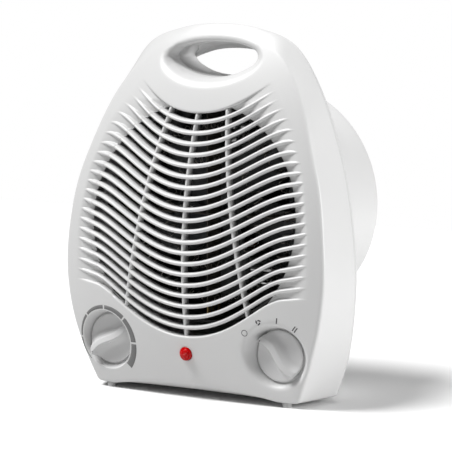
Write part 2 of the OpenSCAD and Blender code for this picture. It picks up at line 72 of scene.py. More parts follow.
HANDLE = [(-35, 240), (-31.5, 234), (-18, 227.8), (0, 225.5), (18, 227.8), (31.5, 234), (35, 240),
          (31, 245.2), (17, 249.3), (0, 250.5), (-17, 249.3), (-31, 245.2)]
FINGER_ENDS_Z = [40, 68, 121.5, 160, 194, 223, 240]
FINGER_ENDS_X = [94, 95.3, 94.3, 88, 75.8, 54.4, 40]


# ---------------------------------------------------------------- curves and surfaces
def front_y(x, z):
    """Depth of the pillow-shaped front, which leans back towards the top."""
    u, v = x / 97.2, (z - MID_Z) / MID_Z
    return (-67.2 + 9.2 * u**2 + 2 * u**4 + 10.8 * v + 26.6 * v**2 + 4.2 * u**2 * v + 1.9 * v**3)


def rear_y(z):
    return 12 + 30 * np.maximum(0, (90 - z) / 87) ** 2


def wave(x, z0):
    """Rise at x of a grille bar whose middle is at height z0."""
    e, v = WAVE_END / WAVE_UNIT, (z0 - MID_Z) / MID_Z
    u, over = np.minimum(np.abs(x), WAVE_END) / WAVE_UNIT, np.maximum(np.abs(x) - WAVE_END, 0)
    a, b, c = 27.8 + 1.1 * v - 10.1 * v**2, -7 + 2.1 * v + 29.5 * v**2, 0.2 - 2.4 * v - 13.2 * v**2
    slope = (2 * a * e + 4 * b * e**3 + 6 * c * e**5) / WAVE_UNIT
    return a * u**2 + b * u**4 + c * u**6 + 0.75 * slope * over


def bar_height(x, z):
    """The z0 of the wave that runs through x, z."""
    z0 = np.clip(z - wave(x, np.full_like(z, MID_Z)), 30, 215)
    for _ in range(14):
        step = (z0 + wave(x, z0) - z) / np.maximum(1 + (wave(x, z0 + 0.5) - wave(x, z0 - 0.5)), 0.2)
        z0 = np.clip(z0 - 0.8 * step, 25, 220)
    return z0


def spline(points, steps):
    """Catmull-Rom curve through an open list of points."""
    p = np.array([points[0]] + list(points) + [points[-1]], float)
    out = []
    for k in range(1, len(p) - 2):
        a, b, c, d = p[k - 1], p[k], p[k + 1], p[k + 2]
        for s in range(steps):
            t = s / steps
            out.append(0.5 * (2 * b + (c - a) * t + (2 * a - 5 * b + 4 * c - d) * t**2
                              + (3 * b - a - 3 * c + d) * t**3))
    return np.array(out + [p[-2]])


def closed_spline(points, steps):
    wrapped = list(points[-2:]) + list(points) + list(points[:2])
    return spline(wrapped, steps)[2 * steps:-2 * steps - 1]


def outline(half, steps=14, trim=2, base_points=40):
    """Closed housing outline: both sides over the top, then the base with rounded corners."""
    full = list(half) + [(-x, z) for x, z in half[-2::-1]]
    arc = spline(full, steps)
    right, left = arc[0], arc[-1]
    arc = arc[trim:-trim]
    reach = 4.0

    def corner(at, inner, outer):
        t = np.linspace(0, 1, 9)[1:-1, None]
        return (1 - t) ** 2 * inner + 2 * t * (1 - t) * at + t**2 * outer

    r_in, l_in = right - [reach, 0], left + [reach, 0]
    base = np.linspace(l_in, r_in, base_points)
    return np.concatenate([arc, corner(left, arc[-1], l_in), base, corner(right, r_in, arc[0])])


def inset(loop, by):
    """Moves each point of a closed counter-clockwise loop inwards."""
    tangent = np.roll(loop, -1, 0) - np.roll(loop, 1, 0)
    tangent /= np.linalg.norm(tangent, axis=1)[:, None]
    return loop + by * np.stack([-tangent[:, 1], tangent[:, 0]], 1)


def circle(x, z, r, count):
    a = np.arange(count) * 2 * math.pi / count
    return np.stack([x + r * np.cos(a), z + r * np.sin(a)], 1)


def inside(loop, pts):
    x, y = pts[:, 0], pts[:, 1]
    hit = np.zeros(len(pts), bool)
    a, b = loop, np.roll(loop, -1, 0)
    for (x0, y0), (x1, y1) in zip(a, b):
        cross = (y0 > y) != (y1 > y)
        if y0 != y1:
            hit ^= cross & (x < (x1 - x0) * (y - y0) / (y1 - y0) + x0)
    return hit


def loop_distance(loop, pts):
    best = np.full(len(pts), 1e9)
    for a, b in zip(loop, np.roll(loop, -1, 0)):
        d = b - a
        t = np.clip(((pts - a) @ d) / (d @ d), 0, 1)
        best = np.minimum(best, np.linalg.norm(pts - a - t[:, None] * d, axis=1))
    return best


crease_loop = outline(CREASE)
widest_loop = outline(WIDEST)
rear_loop = outline(REAR_FACE)
handle_loop = closed_spline(HANDLE, 9)


def arch_rise(loop):
    """How far the front edge of the base is lifted between the feet."""
    low = loop[:, 1] < BASE_Z + 0.5
    return np.where(low, BASE_ARCH * np.clip(1 - (loop[:, 0] / 66) ** 2, 0, 1) ** 0.9, 0)


def base_arch(loop):
    return loop + np.stack([np.zeros(len(loop)), arch_rise(loop)], 1)


# ---------------------------------------------------------------- mesh helpers
def make(name, verts, faces, material, body="housing", smooth=True, weld=0.0):
    """A mesh piece from points in millimetres."""
    mesh = bpy.data.meshes.new(name)
    points = [tuple(v) for v in np.asarray(verts, float) * MM]
    mesh.from_pydata(points, [], [tuple(map(int, f)) for f in faces])
    bm = bmesh.new()
    bm.from_mesh(mesh)
    if weld:
        bmesh.ops.remove_doubles(bm, verts=bm.verts, dist=weld * MM)
    bmesh.ops.recalc_face_normals(bm, faces=bm.faces)
    for f in bm.faces:
        f.smooth = smooth
    bm.to_mesh(mesh)
    bm.free()
    mesh.materials.append(material)
    obj = bpy.data.objects.new(name, mesh)
    bpy.context.scene.collection.objects.link(obj)
    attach(obj, body)
    return obj


class Builder:
    """Collects points and faces of one piece."""

    def __init__(self):
        self.v, self.f = [], []

    def add(self, verts, faces):
        n = sum(len(v) for v in self.v)
        self.v.append(np.asarray(verts, float))
        self.f += [tuple(i + n for i in f) for f in faces]

    def rings(self, rings, close=True, cap_start=False, cap_end=False):
        n, m = len(rings[0]), len(rings)
        faces = []
        for i in range(m - 1):
            for j in range(n if close else n - 1):
                k = (j + 1) % n
                faces.append((i * n + j, i * n + k, (i + 1) * n + k, (i + 1) * n + j))
        if cap_start:
            faces.append(tuple(range(n - 1, -1, -1)))
        if cap_end:
            faces.append(tuple(range((m - 1) * n, m * n)))
        self.add(np.concatenate(rings), faces)

    def make(self, name, material, **kw):
        return make(name, np.concatenate(self.v), self.f, material, **kw)


def lift(loop, y):
    y = np.broadcast_to(y, len(loop))
    return np.stack([loop[:, 0], y, loop[:, 1]], 1)


def triangulate(outer, holes, extra, spacing):
    """Triangles over a flat region bounded by loops, with extra points and a filled-in grid."""
    fixed = np.concatenate([outer] + holes)
    keep = inside(outer, extra) if len(extra) else np.zeros(0, bool)
    for h in holes:
        keep &= ~inside(h, extra)
    extra = extra[keep]
    tree = kdtree.KDTree(len(fixed))
    for i, p in enumerate(fixed):
        tree.insert((p[0], p[1], 0), i)
    tree.balance()
    extra = np.array([p for p in extra if tree.find((p[0], p[1], 0))[2] > 0.12]).reshape(-1, 2)
    lo, hi = outer.min(0), outer.max(0)
    gx = np.arange(lo[0], hi[0], spacing)
    gz = np.arange(lo[1], hi[1], spacing * 0.866)
    grid = np.array([(x + (spacing / 2 if i % 2 else 0), z) for i, z in enumerate(gz) for x in gx])
    keep = inside(outer, grid)
    for h in holes:
        keep &= ~inside(h, grid)
    grid = grid[keep]
    near = np.concatenate([fixed, extra])
    tree = kdtree.KDTree(len(near))
    for i, p in enumerate(near):
        tree.insert((p[0], p[1], 0), i)
    tree.balance()
    grid = np.array([p for p in grid if tree.find((p[0], p[1], 0))[2] > 0.62 * spacing]).reshape(-1, 2)
    pts = np.concatenate([fixed, extra, grid])
    edges, at = [], 0
    for loop in [outer] + holes:
        n = len(loop)
        edges += [(at + i, at + (i + 1) % n) for i in range(n)]
        at += n
    out = delaunay_2d_cdt([Vector(p) for p in pts], edges, [], 0, 1e-5)
    verts = np.array([tuple(v) for v in out[0]])
    tris = np.array([f for f in out[2] if len(f) == 3])
    mid = verts[tris].mean(1)
    keep = inside(outer, mid)
    for h in holes:
        keep &= ~inside(h, mid)
    return verts, tris[keep]


def solid_skin(obj, thick):
    mod = obj.modifiers.new("wall", "SOLIDIFY")
    mod.thickness = thick * MM
    mod.offset = -1
    mod.use_even_offset = False
    return obj


# ---------------------------------------------------------------- materials
def group(name, inputs, outputs):
    tree = bpy.data.node_groups.new(name, "ShaderNodeTree")
    for label, kind, value in inputs:
        s = tree.interface.new_socket(label, in_out="INPUT", socket_type=kind)
        s.default_value = value
    for label, kind in outputs:
        tree.interface.new_socket(label, in_out="OUTPUT", socket_type=kind)
    return tree, tree.nodes.new("NodeGroupInput"), tree.nodes.new("NodeGroupOutput")


def moulded_group():
    """Spark-eroded grain, slow tone drift and small polish differences of moulded plastic."""
    tree, gi, go = group("moulded_grain", [("Tint", "NodeSocketColor", (1, 1, 1, 1)),
                                           ("Roughness", "NodeSocketFloat", 0.4),
                                           ("Grain size", "NodeSocketFloat", 900.0),
                                           ("Grain depth", "NodeSocketFloat", 0.1)],
                         [("Color", "NodeSocketColor"), ("Roughness", "NodeSocketFloat"),
                          ("Normal", "NodeSocketVector")])
    n, l = tree.nodes, tree.links
    place = n.new("ShaderNodeTexCoord")
    fine = n.new("ShaderNodeTexNoise")
    fine.inputs["Detail"].default_value = 3
    slow = n.new("ShaderNodeTexNoise")
    slow.inputs["Scale"].default_value = 14
    slow.inputs["Detail"].default_value = 2
    l.new(place.outputs["Object"], fine.inputs["Vector"])
    l.new(place.outputs["Object"], slow.inputs["Vector"])
    l.new(gi.outputs["Grain size"], fine.inputs["Scale"])
    tone = n.new("ShaderNodeMapRange")
    tone.inputs["To Min"].default_value = 0.965
    tone.inputs["To Max"].default_value = 1.0
    l.new(slow.outputs["Fac"], tone.inputs["Value"])
    mix = n.new("ShaderNodeVectorMath")
    mix.operation = "SCALE"
    l.new(gi.outputs["Tint"], mix.inputs[0])
    l.new(tone.outputs["Result"], mix.inputs["Scale"])
    l.new(mix.outputs["Vector"], go.inputs["Color"])
    drift = n.new("ShaderNodeMapRange")
    drift.inputs["To Min"].default_value = -0.05
    drift.inputs["To Max"].default_value = 0.05
    l.new(slow.outputs["Fac"], drift.inputs["Value"])
    add = n.new("ShaderNodeMath")
    l.new(gi.outputs["Roughness"], add.inputs[0])
    l.new(drift.outputs["Result"], add.inputs[1])
    l.new(add.outputs["Value"], go.inputs["Roughness"])
    bump = n.new("ShaderNodeBump")
    bump.inputs["Distance"].default_value = 0.0002
    l.new(gi.outputs["Grain depth"], bump.inputs["Strength"])
    l.new(fine.outputs["Fac"], bump.inputs["Height"])
    l.new(bump.outputs["Normal"], go.inputs["Normal"])
    return tree


def metal_group():
    """Drawn or ground metal: fine scratches along one axis and a dull film."""
    tree, gi, go = group("worked_metal", [("Tint", "NodeSocketColor", (1, 1, 1, 1)),
                                          ("Roughness", "NodeSocketFloat", 0.35),
                                          ("Scratch size", "NodeSocketFloat", 400.0)],
                         [("Color", "NodeSocketColor"), ("Roughness", "NodeSocketFloat"),
                          ("Normal", "NodeSocketVector")])
    n, l = tree.nodes, tree.links
    place = n.new("ShaderNodeTexCoord")
    stretch = n.new("ShaderNodeMapping")
    stretch.inputs["Scale"].default_value = (1, 1, 0.06)
    scratch = n.new("ShaderNodeTexNoise")
    scratch.inputs["Detail"].default_value = 4
    film = n.new("ShaderNodeTexNoise")
    film.inputs["Scale"].default_value = 60
    l.new(place.outputs["Object"], stretch.inputs["Vector"])
    l.new(stretch.outputs["Vector"], scratch.inputs["Vector"])
    l.new(place.outputs["Object"], film.inputs["Vector"])
    l.new(gi.outputs["Scratch size"], scratch.inputs["Scale"])
    tone = n.new("ShaderNodeMapRange")
    tone.inputs["To Min"].default_value = 0.8
    tone.inputs["To Max"].default_value = 1.05
    l.new(film.outputs["Fac"], tone.inputs["Value"])
    mix = n.new("ShaderNodeVectorMath")
    mix.operation = "SCALE"
    l.new(gi.outputs["Tint"], mix.inputs[0])
    l.new(tone.outputs["Result"], mix.inputs["Scale"])
    l.new(mix.outputs["Vector"], go.inputs["Color"])
    rough = n.new("ShaderNodeMath")
    rough.operation = "MULTIPLY_ADD"
    rough.inputs[1].default_value = 0.18
    l.new(scratch.outputs["Fac"], rough.inputs[0])
    l.new(gi.outputs["Roughness"], rough.inputs[2])
    l.new(rough.outputs["Value"], go.inputs["Roughness"])
    bump = n.new("ShaderNodeBump")
    bump.inputs["Distance"].default_value = 0.0001
    bump.inputs["Strength"].default_value = 0.25
    l.new(scratch.outputs["Fac"], bump.inputs["Height"])
    l.new(bump.outputs["Normal"], go.inputs["Normal"])
    return tree


MOULDED, WORKED = moulded_group(), metal_group()


def finish(name, tree, tint, values, plain):
    """A material whose look comes from a shared group and the shader's own plain sockets."""
    mat = bpy.data.materials.new(name)
    mat.use_nodes = True
    nodes, links = mat.node_tree.nodes, mat.node_tree.links
    shader = nodes["Principled BSDF"]
    use = nodes.new("ShaderNodeGroup")
    use.node_tree = tree
    use.inputs["Tint"].default_value = (*tint, 1)
    for key, value in values.items():
        use.inputs[key].default_value = value
    links.new(use.outputs["Color"], shader.inputs["Base Color"])
    links.new(use.outputs["Roughness"], shader.inputs["Roughness"])
    links.new(use.outputs["Normal"], shader.inputs["Normal"])
    for key, value in plain.items():
        shader.inputs[key].default_value = value
    mat.diffuse_color = (*tint, 1)
    return mat


def plastic(name, tint, rough=0.42, size=900.0, depth=0.12, **plain):
    return finish(name, MOULDED, tint, {"Roughness": rough, "Grain size": size, "Grain depth": depth}, plain)


def metal(name, tint, rough=0.3, size=400.0):
    return finish(name, WORKED, tint, {"Roughness": rough, "Scratch size": size}, {"Metallic": 1.0})


SHELL = plastic("shell_white", (0.74, 0.74, 0.738), 0.38, 1100, 0.10)
KNOB = plastic("knob_grey", (0.66, 0.66, 0.66), 0.30, 1400, 0.10)
INK = plastic("print_grey", (0.20, 0.20, 0.20), 0.5, 2000, 0.05)
INK_DARK = plastic("print_dark", (0.08, 0.08, 0.085), 0.5, 2000, 0.05)
FAN = plastic("fan_nylon", (0.16, 0.165, 0.17), 0.45, 700, 0.15)
BLACK = plastic("black_phenolic", (0.03, 0.03, 0.032), 0.5, 500, 0.2)
NYLON = plastic("natural_nylon", (0.72, 0.70, 0.62), 0.45, 700, 0.12)
FOOT = plastic("foot_grey", (0.55, 0.55, 0.55), 0.6, 900, 0.3)
MICA = plastic("mica_board", (0.16, 0.145, 0.12), 0.55, 260, 0.5)
WIRE_RED = plastic("wire_red", (0.35, 0.04, 0.03), 0.45, 500, 0.1)
WIRE_BLACK = plastic("wire_black", (0.03, 0.03, 0.03), 0.45, 500, 0.1)
RED = plastic("lens_red", (0.60, 0.0, 0.002), 0.07, 300, 0.02, **{"Transmission Weight": 0.1, "IOR": 1.5,
                                                                    "Specular IOR Level": 0.25})
NEON = plastic("neon_glass", (0.95, 0.55, 0.35), 0.08, 300, 0.02, **{"Transmission Weight": 0.8})
STEEL = metal("plated_steel", (0.60, 0.60, 0.58), 0.30)
# Steel finish for the duct and motor plate, tinted near black as painted shade for the dark inside of the
# outlet.
DUCT_PAINTED_SHADE = metal("duct_steel_painted_shade", (0.17, 0.17, 0.17), 0.45)
GROUND = metal("ground_steel", (0.66, 0.66, 0.67), 0.18, 900)
OXIDE = metal("black_oxide", (0.10, 0.10, 0.105), 0.38)
LAMINATE = metal("lamination_steel", (0.30, 0.32, 0.34), 0.45, 1500)
NICHROME = metal("nichrome", (0.62, 0.58, 0.54), 0.34, 1200)
BRASS = metal("brass_tab", (0.72, 0.52, 0.22), 0.28)
COPPER = metal("enamelled_copper", (0.50, 0.20, 0.08), 0.25, 1200)
BRONZE = metal("sintered_bronze", (0.45, 0.30, 0.16), 0.5, 600)


# ---------------------------------------------------------------- front housing
def handle_fillet(z):
    """Rounding of the handle's mouth: generous below, tighter under the thin bridge."""
    return 4.4 + 3.4 * np.clip((249 - z) / 10, 0, 1)


def rim_distance(pts):
    """Share of the way from the outlet circle to the tip of the fading troughs."""
    z = pts[:, 1]
    near = np.sqrt(np.maximum(OUTLET_R**2 - (z - OUTLET_Z) ** 2, 1))
    far = np.maximum(np.interp(z, FINGER_ENDS_Z, FINGER_ENDS_X), near + 3)
    return (np.abs(pts[:, 0]) - near) / (far - near)


def crown(b):
    """How far a bar's rounded front falls back at distance b from its middle."""
    return CROWN_DEEP * (1 - np.sqrt(np.maximum(1 - (b / CROWN_HALF) ** 2, 0)))


def trough_depth(pts):
    depth = np.zeros(len(pts))
    t = rim_distance(pts)
    zone = (t < 1) & (pts[:, 1] > 36)
    p = pts[zone]
    z0 = bar_height(p[:, 0], p[:, 1])
    k = np.clip(np.round((z0 - BAR_LOW) / PITCH), -1, BAR_COUNT)
    b = np.abs(z0 - BAR_LOW - k * PITCH)
    outside = ((z0 > BAR_LOW + BAR_COUNT * PITCH) | (z0 < BAR_LOW - PITCH))
    floor = 5.2 * np.clip(1 - t[zone], 0, 1) ** 1.35
    side = np.where(b < CROWN_HALF, crown(b), 99)
    d = np.minimum(side, floor)
    depth[zone] = np.where(outside, 0, d)
    return depth


def dish_depth(pts, y):
    """Blends the surface into the dishes round the knobs: crisp on the left, rolled on the right."""
    floor = float(front_y(KNOB_X, KNOB_Z)) + DISH_DEEP
    for side, soft, reach in ((-1, 0.35, DISH_R), (1, 1.0, SOFT_DISH_R)):
        d = np.hypot(pts[:, 0] - side * KNOB_X, pts[:, 1] - KNOB_Z)
        t = np.clip((d - DISH_FLOOR_R) / (reach - DISH_FLOOR_R), 0, 1)
        f = (1 - soft) * t + soft * np.sin(t * math.pi / 2)
        y = np.where(d < reach, floor + (y - floor) * f, y)
    return y


def face_y(pts):
    y = front_y(pts[:, 0], pts[:, 1]) + trough_depth(pts)
    y = dish_depth(pts, y)
    d = loop_distance(handle_loop, pts)
    r = handle_fillet(pts[:, 1])
    y = y + np.where(d < r, r - np.sqrt(np.maximum(r**2 - (r - np.minimum(d, r)) ** 2, 0)), 0)
    return y


def outlet_edges():
    """The outlet's outline: wavy below and above, round at the sides."""
    low, high = BAR_LOW - PITCH + CROWN_HALF, BAR_HIGH + PITCH - CROWN_HALF

    def meet(z0):
        x = np.linspace(5, 83, 1500)
        r = np.hypot(x, z0 + wave(x, np.full_like(x, z0)) - OUTLET_Z)
        return x[np.argmax(r > OUTLET_R)]

    x_low, x_high = meet(low), meet(high)

    def edge(z0, reach, n):
        x = np.linspace(-reach, reach, n)
        return np.stack([x, z0 + wave(x, np.full_like(x, z0))], 1)

    below, above = edge(low, x_low, 70), edge(high, x_high, 60)
    a0 = math.atan2(below[-1, 1] - OUTLET_Z, below[-1, 0])
    a1 = math.atan2(above[-1, 1] - OUTLET_Z, above[-1, 0])
    a = np.linspace(a0, a1, int(OUTLET_R * (a1 - a0) / 0.5))[1:-1]
    right = np.stack([OUTLET_R * np.cos(a), OUTLET_Z + OUTLET_R * np.sin(a)], 1)
    left = right[::-1] * [-1, 1]
    return np.concatenate([below, right, above[::-1], left])


def finger_points():
    """Sample points that follow each ridge and trough beside the outlet."""
    across = [0, 0.6, 1.05, 1.35, 1.52, 1.62, 2.2, PITCH / 2]
    out = []
    for k in range(-1, BAR_COUNT + 1):
        for b in across + [-c for c in across[1:]]:
            z0 = BAR_LOW + k * PITCH + b
            x = np.arange(20, 100, 1.3)
            z = z0 + wave(x, np.full_like(x, z0))
            pts = np.stack([x, z], 1)
            t = rim_distance(pts)
            pts = pts[(t > 0.0) & (t < 1.12)]
            out += [pts, pts * [-1, 1]]
    return np.concatenate(out)


def around(loop, steps):
    return [inset(loop, -s) for s in steps]


def build_front():
    outer = inset(base_arch(crease_loop), 2.2)
    outlet = outlet_edges()
    shafts = [circle(s * KNOB_X, KNOB_Z, 4.2, 40) for s in (-1, 1)]
    lamp = circle(0, LAMP_Z, LAMP_R + 0.15, 40)
    extra = [finger_points()]
    extra += around(handle_loop, [0.3, 0.8, 1.5, 2.3, 3.2, 4.2, 5.4, 6.7, 8.0, 9.5])
    extra += around(outlet, [0.3, 0.7, 1.1, 1.5, 2.1]) + around(lamp, [0.4, 0.8, 1.6])
    extra += [inset(outer, s) for s in (0.9, 2.0, 3.4)]
    for s in (-1, 1):
        rings = [9, 13, 16.5, 18, 18.7, 19, 19.3, 19.8, 20.4, 21, 21.6, 22, 22.3, 23.2, 24.5]
        extra += [circle(s * KNOB_X, KNOB_Z, r, 110 if r > 16 else 40) for r in rings]
    holes = [outlet, handle_loop] + shafts + [lamp]
    flat, tris = triangulate(outer, holes, np.concatenate(extra), 2.4)
    b = Builder()
    b.add(lift(flat, face_y(flat)), tris)
    b.rings([lift(outlet, face_y(outlet)), lift(outlet, face_y(outlet) * 0 + front_y(*outlet.T) + 6.2)])
    mouth = face_y(handle_loop)
    b.rings([lift(handle_loop, mouth), lift(handle_loop, (mouth + PARTING_Y) / 2),
             lift(handle_loop, PARTING_Y)])
    b.rings([lift(lamp, face_y(lamp)), lift(lamp, face_y(lamp) + 2.2)])
    b.rings([lift(shafts[0], face_y(shafts[0])), lift(shafts[0], face_y(shafts[0]) + 1)])
    b.rings([lift(shafts[1], face_y(shafts[1])), lift(shafts[1], face_y(shafts[1]) + 1)])
    edge, rise = base_arch(crease_loop), arch_rise(crease_loop)
    start, corner = lift(outer, face_y(outer)), lift(edge, front_y(*edge.T))
    rim = lift(widest_loop, PARTING_Y)

    def band(t):
        bow = t + 0.22 * t * (1 - t)
        foot = corner - np.stack([0 * rise, 0 * rise, rise], 1)
        out = foot + (rim - foot) * bow
        out[:, 1] = corner[:, 1] + (rim[:, 1] - corner[:, 1]) * t
        out[:, 2] += rise * ((1 - ARCH_LEFT) * max(0, 1 - t / ARCH_REACH) ** 1.3 + ARCH_LEFT * (1 - t))
        return out

    lead = band(0.055)
    rings = [start]
    for t in (0.12, 0.25, 0.38, 0.5, 0.62, 0.75, 0.88):
        rings.append((1 - t) ** 2 * start + 2 * t * (1 - t) * corner + t**2 * lead)
    rings += [band(t) for t in (0.055, 0.085, 0.12, 0.16, 0.2)] + [band(t) for t in np.linspace(0.26, 1, 12)]
    b.rings(rings)
    skin = b.make("front_shell", SHELL, weld=0.02)
    solid_skin(skin, WALL)
    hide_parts("front_housing")
    return skin


def build_bars():
    """The outlet's wavy bars, each one rounded in front and let into the shell at both ends."""
    turn = np.linspace(-90, 90, 11) * math.pi / 180
    section = [(CROWN_HALF * math.sin(a), CROWN_DEEP * (1 - math.cos(a))) for a in turn]
    section += [(1.3, BAR_DEEP - 0.4), (1.0, BAR_DEEP), (-1.0, BAR_DEEP), (-1.3, BAR_DEEP - 0.4)]
    b = Builder()
    for k in range(BAR_COUNT):
        z0 = BAR_LOW + k * PITCH
        x = np.linspace(0, 90, 900)
        r = np.hypot(x, z0 + wave(x, np.full_like(x, z0)) - OUTLET_Z)
        reach = x[np.argmax(r > OUTLET_R + 1.6)]
        x = np.linspace(-reach, reach, int(reach * 1.1))
        z = z0 + wave(x, np.full_like(x, z0))
        slope = np.gradient(z, x)
        spread = (wave(x, np.full_like(x, z0 + 0.5)) - wave(x, np.full_like(x, z0 - 0.5))) + 1
        nx, nz = -slope / np.hypot(1, slope), 1 / np.hypot(1, slope)
        half = spread * nz
        rings = []
        for i in range(len(x)):
            ring = []
            for off, deep in section:
                px, pz = x[i] + nx[i] * off * half[i], z[i] + nz[i] * off * half[i]
                ring.append((px, float(front_y(px, pz)) + deep + 0.22, pz))
            rings.append(np.array(ring))
        b.rings(rings, cap_start=True, cap_end=True)
    bars = b.make("outlet_bars", SHELL)
    return bars


def build_ribs():
    b = Builder()
    turn = np.linspace(-90, 90, 7) * math.pi / 180
    section = [(1.05 * math.sin(a), 2.3 - 1.0 * math.cos(a)) for a in turn] + [(1.2, 7.2), (-1.2, 7.2)]
    for side in (-1, 0, 1):
        z0 = np.linspace(BAR_LOW - PITCH + 1, BAR_HIGH + PITCH - 1, 60)
        rings = []
        for h in z0:
            z = h
            for _ in range(6):
                x = side * (38.9 - 0.192 * (z - MID_Z))
                z = h + float(wave(x, h))
            rings.append(np.array([(x + dx, float(front_y(x, z)) + d, z) for dx, d in section]))
        b.rings(rings, cap_start=True, cap_end=True)
    ribs = b.make("outlet_ribs", SHELL)
    return ribs


# ---------------------------------------------------------------- rear housing
def slot_loops():
    """Rounded intake slots of the drum's back, in four columns inside a circle."""
    pitch = 2 * (DRUM_R - 14) / 15
    limit = DRUM_R - 13.5
    loops = []
    for i in range(15):
        z = DRUM_Z + (i - 7) * pitch
        for x0, x1 in ((-62, -33), (-30, -2), (2, 30), (33, 62)):
            room = math.sqrt(max(limit**2 - (abs(z - DRUM_Z) + 3) ** 2, 0))
            a, c = max(x0, -room), min(x1, room)
            if c - a < 8:
                continue
            h, r, pts = 0.21 * pitch, 1.7, []
            for cx, cz, start in ((c - r, z - h + r, 270), (c - r, z + h - r, 0), (a + r, z + h - r, 90),
                                  (a + r, z - h + r, 180)):
                for s in range(0, 91, 18):
                    t = math.radians(start + s)
                    pts.append((cx + r * math.cos(t), cz + r * math.sin(t)))
            loops.append(np.array(pts))
    return loops


def build_rear():
    rim = widest_loop
    b = Builder()
    rings = []
    for a in np.linspace(0, 90, 8) * math.pi / 180:
        q = rim + (rear_loop - rim) * REAR_TURN * (1 - math.cos(a))
        rings.append(lift(q, PARTING_Y + REAR_EDGE * math.sin(a)))
    turned, face_edge = rings[-1], lift(rear_loop, rear_y(rear_loop[:, 1]))
    inner_loop = inset(rear_loop, 4)
    face_start = lift(inner_loop, rear_y(inner_loop[:, 1]))
    for t in (0.25, 0.5, 0.72):
        rings.append(turned + (face_edge - turned) * t)
    lead = turned + (face_edge - turned) * 0.86
    for t in (0, 0.2, 0.4, 0.6, 0.8, 1):
        rings.append((1 - t) ** 2 * lead + 2 * t * (1 - t) * face_edge + t**2 * face_start)
    b.rings(rings)
    drum = circle(0, DRUM_Z, DRUM_R + 2.6, 160)
    gland = circle(52, 12, 6.2, 32)

    def back_y(pts):
        d = loop_distance(handle_loop, pts)
        fall = HANDLE_ROUND - np.minimum(d, HANDLE_ROUND)
        rounded = HANDLE_ROUND - np.sqrt(np.maximum(HANDLE_ROUND**2 - fall**2, 0))
        return rear_y(pts[:, 1]) - np.where(d < HANDLE_ROUND, rounded, 0)

    extra = around(handle_loop, [0.3, 0.8, 1.5, 2.4, 3.3, 4.2]) + around(gland, [1, 2.2])
    flat, tris = triangulate(inner_loop, [handle_loop, drum, gland], np.concatenate(extra), 3.2)
    b.add(lift(flat, back_y(flat)), tris)
    b.rings([lift(handle_loop, back_y(handle_loop)), lift(handle_loop, PARTING_Y)])
    b.rings([lift(gland, rear_y(gland[:, 1])), lift(gland, rear_y(gland[:, 1]) - 2)])
    start = lift(drum, rear_y(drum[:, 1]))
    wall = []
    for t in np.linspace(0, 1, 6):
        a = t * math.pi / 2
        c = circle(0, DRUM_Z, DRUM_R + 1.1 + 1.5 * (1 - math.sin(a)), 160)
        wall.append(lift(c, rear_y(drum[:, 1]) + 1.5 * (1 - math.cos(a))))
    last = wall[-1]
    for t in (0.25, 0.5, 0.75, 1):
        depth = last[:, 1] + (DRUM_BACK - 7 - last[:, 1]) * t
        wall.append(lift(circle(0, DRUM_Z, DRUM_R + 1.1 - 1.1 * t, 160), depth))
    for a in np.linspace(0, 90, 9)[1:] * math.pi / 180:
        rim = circle(0, DRUM_Z, DRUM_R - 6.5 * (1 - math.cos(a)), 160)
        wall.append(lift(rim, DRUM_BACK - 7 + 6.5 * math.sin(a)))
    inner = circle(0, DRUM_Z, DRUM_R - 6.5, 160)
    b.rings(wall)
    holes = slot_loops()
    flat, tris = triangulate(inner, holes, np.concatenate([circle(0, DRUM_Z, DRUM_R - 9, 150)]), 3.6)
    y = np.full(len(flat), DRUM_BACK - 0.5)
    b.add(lift(flat, y), tris)
    for h in holes:
        b.rings([lift(h, DRUM_BACK - 0.5), lift(h + [0, LOUVRE_RISE], DRUM_BACK - 0.5 - LOUVRE_DEEP)])
    skin = b.make("rear_shell", SHELL, weld=0.02)
    solid_skin(skin, WALL)
    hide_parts("rear_housing")
    return skin


# ---------------------------------------------------------------- knobs and prints
def knob_height(p, q):
    """Height over the knob's back for a point p along the pointer and q across it."""
    s, out = p / KNOB_R, np.hypot(p, q) / KNOB_R
    off = q + 5.4 * s * (1 - s**2)
    tall = RIDGE_TALL * (1 - 0.4 * np.clip(-s, 0, 1) ** 2.4)
    steep = np.exp(-(np.maximum(off - 1.6, 0) / 1.9) ** 1.25)
    hollow = np.exp(-(np.maximum(-2.2 - off, 0) / 2.6) ** 1.5)
    ridge = tall * steep * hollow * (0.92 + 0.05 * np.clip(off, -2.2, 1.6))
    return DISC_THICK + ridge - 0.35 * (1 - out**2) - 0.7 * np.clip((out - 0.94) / 0.06, 0, 1) ** 2


def knob_place(p, q, side, pointer, h):
    """Turns knob coordinates into housing coordinates."""
    c, s = math.cos(math.radians(pointer)), math.sin(math.radians(pointer))
    back = float(front_y(KNOB_X, KNOB_Z)) + DISH_DEEP - 0.7
    return np.stack([side * KNOB_X + p * c - q * s, back - h, KNOB_Z + p * s + q * c], 1)


